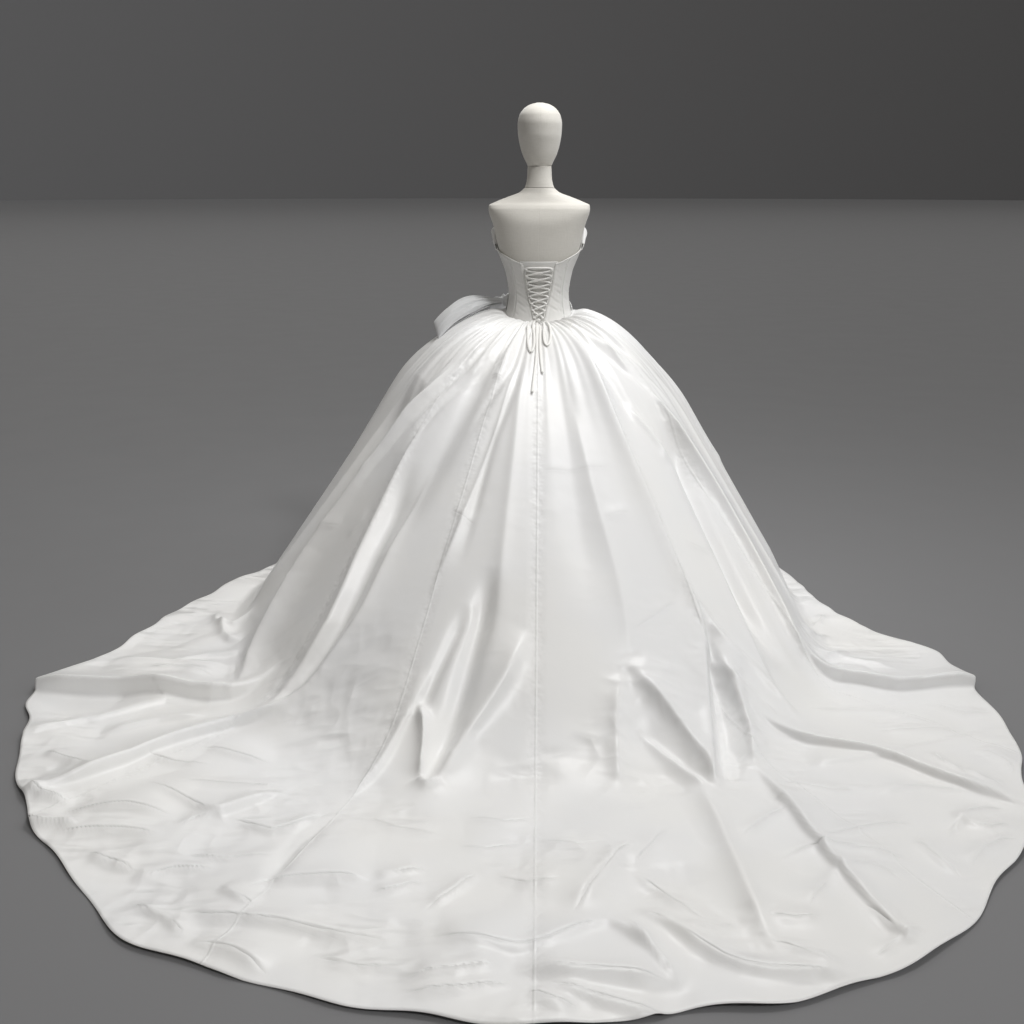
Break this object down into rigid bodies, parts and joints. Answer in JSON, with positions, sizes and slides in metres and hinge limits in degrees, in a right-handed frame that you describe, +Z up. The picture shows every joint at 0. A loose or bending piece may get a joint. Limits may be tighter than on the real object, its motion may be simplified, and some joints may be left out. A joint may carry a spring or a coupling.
{
  "type": "wedding dress on a dress form",
  "caption": "Strapless satin ball gown with a laced back, a hip bow and a long round train, worn by a limbless dress form on a round stand.",
  "frame": {"origin": "on the floor, at the middle of the stand's base, under the form's pole", "axes": "the gown's front faces -Y, its train lies towards +Y, +X is the wearer's left, +Z is up"},
  "size_m": [2.9421, 3.3902, 1.803],
  "materials": {
    "skirt_satin": "heavy bridal satin with a soft sheen",
    "bodice_satin": "boned and lined satin, smoother and duller than the skirt",
    "ribbon": "satin tubing",
    "form_linen": "off-white linen cover, matt",
    "stand_paint": "off-white powder coat"
  },
  "bodies": {
    "root": {"form_torso": "form_linen", "form_neck": "form_linen", "form_head": "form_linen", "stand_pole": "stand_paint", "stand_base": "stand_paint", "bodice_front": "bodice_satin", "bodice_side_front_left": "bodice_satin", "bodice_side_front_right": "bodice_satin", "bodice_side_left": "bodice_satin", "bodice_side_right": "bodice_satin", "bodice_back_left": "bodice_satin", "bodice_back_right": "bodice_satin", "binding_left": "bodice_satin", "binding_right": "bodice_satin", "modesty_panel": "bodice_satin", "neckline_drape": "skirt_satin", "front_sash": "skirt_satin", "bow_loop_back": "skirt_satin", "bow_loop_front": "skirt_satin", "bow_knot": "skirt_satin", "loop_strip_left": "ribbon", "loop_strip_right": "ribbon", "lace_left": "ribbon", "lace_right": "ribbon", "tie_knot": "ribbon", "tie_loop_left": "ribbon", "tie_loop_right": "ribbon", "tie_tail_left": "ribbon", "tie_tail_right": "ribbon", "hanger_loop": "ribbon", "skirt_back_left": "skirt_satin", "skirt_back_right": "skirt_satin", "skirt_side_back_left": "skirt_satin", "skirt_side_back_right": "skirt_satin", "skirt_side_left": "skirt_satin", "skirt_side_right": "skirt_satin", "skirt_side_front_left": "skirt_satin", "skirt_side_front_right": "skirt_satin", "skirt_front": "skirt_satin"}
  },
  "joints": []
}
